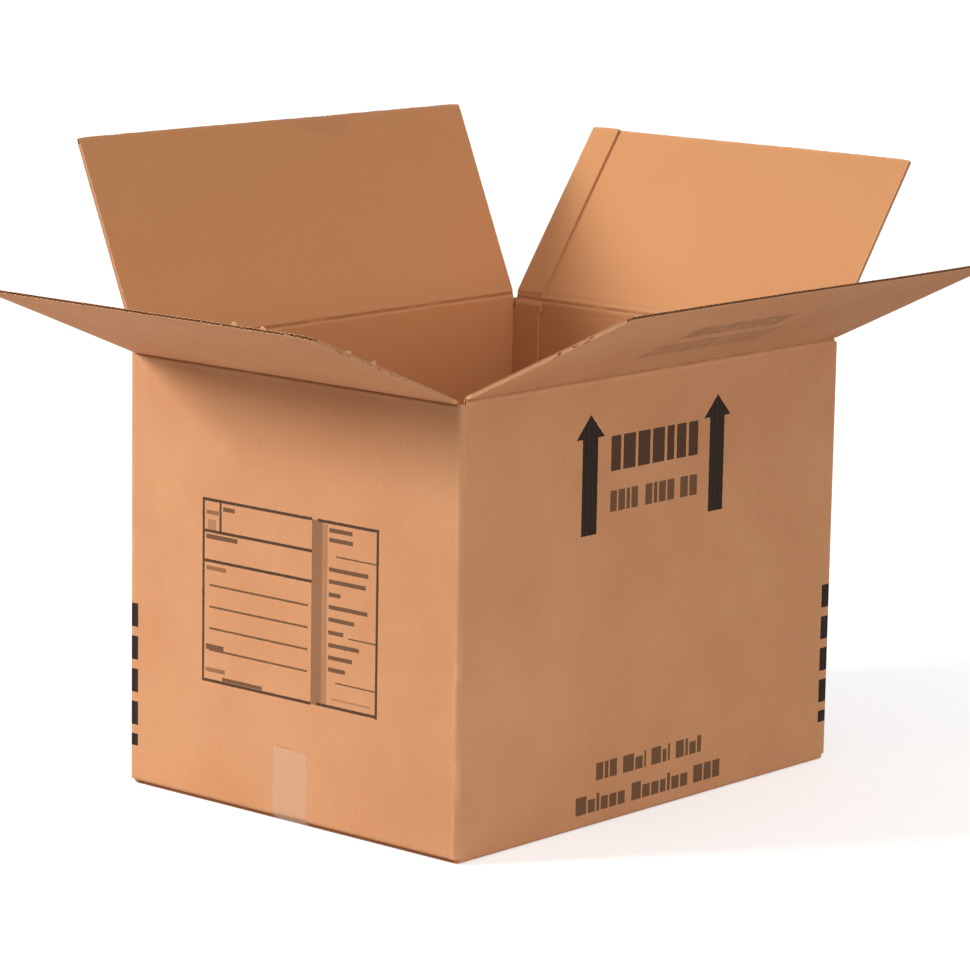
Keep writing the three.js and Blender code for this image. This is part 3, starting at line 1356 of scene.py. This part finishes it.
@dataclass
class Carton:
    """The whole carton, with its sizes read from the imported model."""

    half_length: float
    half_width: float
    board: Board
    end_half_run: float
    side_half_run: float
    creases: dict[str, Crease]
    tape_box: tuple[Vector, Vector]
    layer: float = mm(4.3)
    fold_radius: float = mm(4.4)
    lap_width: float = mm(38.0)

    @classmethod
    def from_frame(cls, frame: dict) -> "Carton":
        """Reads the carton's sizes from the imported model.


        Returns:
            The carton.
        """
        low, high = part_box("carton_body")
        joints = {joint["child"]: joint for joint in frame["record"]["behaviour"]["joints"]}
        half_width = high[1]
        board = Board(thickness=2.0 * (half_width - abs(joints["rear_flap"]["pos_m"][1])))
        reach = abs(joints["rear_flap"]["pos_m"][1]) - mm(0.5)
        creases = {}
        for name, joint in joints.items():
            pivot = Vector(joint["pos_m"])
            level = Vector((pivot.x, pivot.y, 0.0)).normalized()
            flap_low, flap_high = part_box(name)
            half_run = flap_high[0] if abs(level.y) > 0.5 else flap_high[1]
            lean = math.radians(-joint["range_deg"][0] - 90.0)
            creases[name] = Crease(name, name, pivot, level, lean, half_run, reach)
        return cls(
            half_length=high[0],
            half_width=half_width,
            board=board,
            end_half_run=creases["left_flap"].half_run,
            side_half_run=creases["front_flap"].half_run,
            creases=creases,
            tape_box=tuple(Vector(corner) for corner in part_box("bottom_tape")),
        )

    def body_material(self, kraft: Kraft) -> Material:
        """Kraft for the folded sheet, with the print on its outer faces, rubbed folds, and painted shade
        on the cut edges under the end walls.

        Args:
            kraft: The board's finish.

        Returns:
            The material.
        """
        made, graph, place = new_material("kraft_walls")
        x, y, z = graph.split(place)
        wobble = (graph.noise(place, 420.0, 2.0) - 0.5) * mm(1.1)
        skin = mm(1.0)
        on_end = x.size() > self.half_length - skin
        on_side = y.size() > self.half_width - skin
        end_region = x.size() > self.half_length - self.board.thickness - mm(0.2)
        across = y * end_region + x * (1.0 - end_region)
        end_ink = END_WALL_ART.coverage(y * x.sign() + wobble, z + wobble) * on_end
        side_ink = LONG_WALL_ART.coverage(x * y.sign() * -1.0 + wobble, z + wobble) * on_side
        corner = Corner()
        fold_depth = mm(3.0)
        outside_x = x.size() > self.half_length - fold_depth
        outside = outside_x.larger(y.size() > self.half_width - fold_depth)
        beside_x = x.size() > self.half_length - corner.reach_x
        beside_y = y.size() > self.half_width - corner.reach_y
        beside = beside_x * beside_y * ((x * y) < 0.0) * outside
        dashes = corner.mask(z + wobble) * beside * Ink.SOLID.value
        near_corner = (x.size() - self.half_length + y.size() - self.half_width).ramp(mm(-9.0), mm(-1.5))
        rubbed = graph.noise(graph.stretch(place, (1.0, 1.0, 0.35)), 70.0, 3.0).ramp(0.45, 0.72)
        wear_and_highlight = near_corner * (rubbed * 0.5 + 0.12)
        # Painted shade: the low cut edges of the outer bottom flaps, tucked under the end walls, are
        # darkened as if in shadow.
        cut_edge = (x.size() > self.side_half_run - mm(0.3)) * (z < self.board.thickness + mm(0.1))
        cut_edge_shade = (y.size() < self.end_half_run) * cut_edge
        inside_x = x.size() < self.half_length - self.board.half
        inside_y = y.size() < self.half_width - self.board.half
        inside = inside_x * inside_y * (z > self.layer)
        ink = end_ink.larger(side_ink).larger(dashes)
        marks = Marks(ink=ink, wear_and_highlight=wear_and_highlight, painted_shade=cut_edge_shade * 0.85, inside=inside)
        kraft.finish(graph, place, across, marks)
        return made

    def flap_material(self, kraft: Kraft, crease: Crease) -> Material:
        """Kraft for one flap, with faint print on the outer face of the long flaps.

        Args:
            kraft: The board's finish.
            crease: The crease that the flap turns on.

        Returns:
            The material.
        """
        made, graph, place = new_material(f"kraft_{crease.name}")
        along, face = crease.direction(crease.lean)
        u = graph.along(place, crease.run, crease.pivot)
        v = graph.along(place, along, crease.pivot)
        w = graph.along(place, face, crease.pivot)
        side = u.size().ramp(crease.half_run - mm(4.0), crease.half_run)
        edge = v.ramp(crease.reach - mm(5.0), crease.reach).larger(side)
        wear_and_highlight = edge * (graph.noise(place, 90.0, 3.0).ramp(0.4, 0.7) * 0.5 + 0.1)
        ink = None
        if abs(crease.outward.y) > 0.5:
            broken = graph.noise(graph.stretch(place, (1.0, 1.0, 3.0)), 75.0, 2.0).ramp(0.35, 0.6)
            ink = FLAP_ART.coverage(u, v) * (w > 0.0) * (broken * 0.6 + 0.4)
        kraft.finish(graph, place, u, Marks(ink=ink, wear_and_highlight=wear_and_highlight, inside=w < 0.0))
        return made

    def crease_material(self, kraft: Kraft, crease: Crease) -> Material:
        """Kraft for one pressed fold, with painted shade along the crease line and a painted highlight
        on the ridge beside it.

        Args:
            kraft: The board's finish.
            crease: The crease that the fold is made for.

        Returns:
            The material.
        """
        made, graph, place = new_material(f"kraft_{crease.name}_crease")
        u = graph.along(place, crease.run, crease.pivot)
        middle, face = crease.direction(crease.lean / 2)
        wander = (graph.noise(place, 30.0, 2.0) - 0.5) * mm(1.2)
        beside = (graph.along(place, middle, crease.pivot) + wander).size()
        inside = graph.along(place, face, crease.pivot) < 0.0
        # Painted shade: a dark line along the crease where its groove falls in shadow, stronger on the
        # inside face.
        line = 1.0 - beside.ramp(mm(0.6), mm(2.6))
        # Painted highlight: a paler band along the ridge beside the crease, where light catches it.
        ridge = beside.ramp(mm(1.5), mm(3.0)) * (1.0 - beside.ramp(mm(3.5), mm(6.0)))
        broken = graph.noise(graph.stretch(place, (1.0, 1.0, 0.5)), 40.0, 3.0).ramp(0.3, 0.6)
        painted_shade = line * (inside * 0.2 + 0.45) * (broken * 0.5 + 0.5)
        wear_and_highlight = ridge * (broken * 0.22 + 0.08)
        kraft.finish(graph, place, u, Marks(wear_and_highlight=wear_and_highlight, painted_shade=painted_shade, inside=inside))
        return made

    def torn_tufts(self, crease: Crease) -> tuple[Tuft, ...]:
        """Torn slivers on one flap: most on the left flap, and some on the front flap.

        Args:
            crease: The crease that the flap turns on.

        Returns:
            The slivers, none for the rear and right flaps.
        """
        run = crease.half_run
        top = crease.reach - mm(0.5)
        if crease.name == "left_flap":
            slivers = torn_edge((mm(60.0), top), (run, top), (0.0, 1.0), 9, seed=5)
            slivers += torn_edge((run, mm(70.0)), (run, top), (1.0, 0.0), 8, seed=8)
            large = (
                Tuft(mm(128.0), top, 0.1, 0.99, mm(3.2), mm(9.0), mm(-3.5), -0.5),
                Tuft(mm(166.0), top, -0.2, 0.98, mm(3.0), mm(11.0), mm(-3.0), -0.5),
                Tuft(run, mm(174.0), 0.97, 0.24, mm(2.3), mm(10.0), mm(-3.5), -0.6),
                Tuft(run, mm(136.0), 0.99, -0.1, mm(2.3), mm(9.0), mm(-4.5), -0.6),
            )
            return slivers + large
        if crease.name == "front_flap":
            slivers = torn_edge((-run, mm(115.0)), (-run, mm(185.0)), (-1.0, 0.0), 5, seed=3)
            bits = (
                Tuft(-run, mm(128.0), -0.95, 0.3, mm(3.2), mm(9.5), mm(1.0), 0.2),
                Tuft(-run, mm(168.0), -0.98, 0.2, mm(3.0), mm(10.0), mm(0.8), 0.2),
            )
            return slivers + bits
        return ()

    def build(self) -> None:
        """Dresses the folded sheet and makes the flaps, folds, edges and tape."""
        kraft = Kraft(flute_pitch=self.board.flute_pitch)
        medium = Medium().material("flute_medium")
        fibre = Medium(base=(0.68, 0.36, 0.19), dark=(0.56, 0.27, 0.13)).material("torn_paper")
        walls = self.body_material(kraft)
        body = bpy.data.objects["carton_body"]
        body.data.materials.clear()
        body.data.materials.append(walls)
        for i, crease in enumerate(self.creases.values()):
            liner = self.flap_material(kraft, crease)
            lap = self.lap_width if crease.name == "right_flap" else 0.0
            flap = TopFlap(crease, self.board, seed=3.7 * (i + 1), lap_width=lap)
            flap.tufts = self.torn_tufts(crease)
            if crease.name == "left_flap":
                flap.corner_wear = (mm(1.5), mm(7.0))
            flap.build(liner, medium, fibre)
            CreaseFold(crease, self.board, lap_width=lap).build(self.crease_material(kraft, crease))
        edge_x = self.half_length - self.board.half - self.creases["left_flap"].reach
        edges = InnerFlapEdges(self.board, edge_x, self.end_half_run, self.layer)
        edges.build(self.flap_material(kraft, self.creases["left_flap"]), medium)
        tape_low, tape_high = self.tape_box
        SeamTape(
            half_length=self.half_length,
            half_run=self.side_half_run,
            layer=self.layer,
            fold_radius=self.fold_radius,
            low=tape_low.y,
            high=tape_high.y,
            top=tape_high.z,
        ).build(ClearFilm().material("clear_film"))


@dataclass(frozen=True)
class Viewpoint:
    """The photograph's camera, as fitted to the carton's edges."""

    azimuth: float = -49.002
    elevation: float = 10.566
    roll: float = 0.989
    distance: float = 4.5125
    shift_right: float = -0.0033
    shift_up: float = 0.0150
    focal_pixels: float = 4194.6
    image_height: float = 971.0
    target: tuple[float, float, float] = (0.0, 0.0, 0.3)
    sensor: float = 36.0

    def build(self) -> None:
        """Makes the scene's camera."""
        azimuth, elevation, roll = (math.radians(a) for a in (self.azimuth, self.elevation, self.roll))
        level = math.cos(elevation)
        back = Vector((math.sin(azimuth) * level, -math.cos(azimuth) * level, math.sin(elevation)))
        right = Vector((math.cos(azimuth), math.sin(azimuth), 0.0))
        upright = back.cross(right)
        across = math.cos(roll) * right + math.sin(roll) * upright
        upward = math.cos(roll) * upright - math.sin(roll) * right
        shift = across * self.shift_right + upward * self.shift_up
        spot = Vector(self.target) + back * self.distance + shift
        data = bpy.data.cameras.new("camera")
        data.sensor_width = self.sensor
        data.lens = self.focal_pixels / self.image_height * self.sensor
        data.clip_end = 100.0
        camera = bpy.data.objects.new("camera", data)
        bpy.context.scene.collection.objects.link(camera)
        turn = Matrix((across, upward, back)).transposed().to_4x4()
        camera.matrix_world = Matrix.Translation(spot) @ turn
        bpy.context.scene.camera = camera


@dataclass(frozen=True)
class Lamp:
    """One soft square lamp that shines at the carton."""

    name: str
    direction: tuple[float, float, float]
    distance: float
    size: float
    power: float
    target: tuple[float, float, float] = (-0.1, 0.0, 0.25)

    def build(self) -> None:
        """Places the lamp."""
        data = bpy.data.lights.new(self.name, "AREA")
        data.shape = "SQUARE"
        data.size = self.size
        data.energy = self.power
        lamp = bpy.data.objects.new(self.name, data)
        direction = Vector(self.direction).normalized()
        lamp.location = Vector(self.target) + direction * self.distance
        lamp.rotation_mode = "QUATERNION"
        lamp.rotation_quaternion = direction.to_track_quat("Z", "Y")
        bpy.context.scene.collection.objects.link(lamp)


@dataclass(frozen=True)
class Studio:
    """Plain white floor and background, soft lamps and even light all round."""

    lamps: tuple[Lamp, ...] = (
        Lamp("key", direction=(-1.0, 0.66, 0.68), distance=3.6, size=0.8, power=115.0),
        Lamp("fill", direction=(-0.1, -1.0, 0.3), distance=4.5, size=1.2, power=64.0),
    )
    sky: float = 0.65
    horizon: float = 0.08
    floor_colour: Colour = (0.76, 0.76, 0.76)
    far_colour: Colour = (0.18, 0.18, 0.18)
    floor_glow: float = 0.5
    far_glow: float = 1.0
    far_reach: tuple[float, float] = (0.8, 1.9)
    floor_size: float = 30.0
    floor_drop: float = mm(0.3)

    def _floor(self) -> None:
        """A white floor that still takes the carton's shadow."""
        bpy.ops.mesh.primitive_plane_add(size=self.floor_size, location=(0.0, 0.0, -self.floor_drop))
        floor = bpy.context.active_object
        floor.name = "floor"
        made, graph, place = new_material("floor_white")
        distance = graph.value("ShaderNodeVectorMath", "Value", {"operation": "LENGTH"}, {0: place})
        far = distance.ramp(*self.far_reach)
        colour = graph.tint(far, (*self.floor_colour, 1.0), (*self.far_colour, 1.0))
        plain = graph.node("ShaderNodeBsdfDiffuse", {}, {"Color": colour})
        level = graph.shown() * (far * (self.far_glow - self.floor_glow) + self.floor_glow)
        shine = graph.tint(level, BLACK, WHITE)
        glow = graph.node("ShaderNodeEmission", {}, {"Color": shine, "Strength": 1.0})
        both = graph.node("ShaderNodeAddShader", {}, {0: plain.outputs[0], 1: glow.outputs[0]})
        graph.node("ShaderNodeOutputMaterial", {}, {"Surface": both.outputs[0]})
        floor.data.materials.append(made)

    def _world(self) -> None:
        """Light from all round and most of it from above, seen as plain white."""
        world = bpy.data.worlds.new("studio")
        world.use_nodes = True
        graph = Graph(world.node_tree)
        direction = graph.node("ShaderNodeTexCoord").outputs["Generated"]
        upward = graph.split(direction)[2]
        overhead = upward.ramp(0.0, 0.75) * (1.0 - self.horizon) + self.horizon
        colour = graph.tint(overhead * self.sky, BLACK, WHITE)
        light = graph.node("ShaderNodeBackground", {}, {"Color": colour, "Strength": 1.0})
        shown = graph.node("ShaderNodeBackground", {}, {"Color": WHITE, "Strength": 1.0})
        shaders = {0: graph.shown(), 1: light.outputs[0], 2: shown.outputs[0]}
        both = graph.node("ShaderNodeMixShader", {}, shaders)
        graph.node("ShaderNodeOutputWorld", {}, {"Surface": both.outputs[0]})
        bpy.context.scene.world = world

    def build(self) -> None:
        """Sets the floor, the light and the view transform."""
        self._floor()
        self._world()
        for lamp in self.lamps:
            lamp.build()
        bpy.context.scene.view_settings.view_transform = "Standard"


def main() -> None:
    """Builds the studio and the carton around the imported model."""
    logging.basicConfig(level=logging.INFO, format="%(message)s")
    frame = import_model()
    Viewpoint().build()
    Studio().build()
    Carton.from_frame(frame).build()


if __name__ == "__main__":
    main()
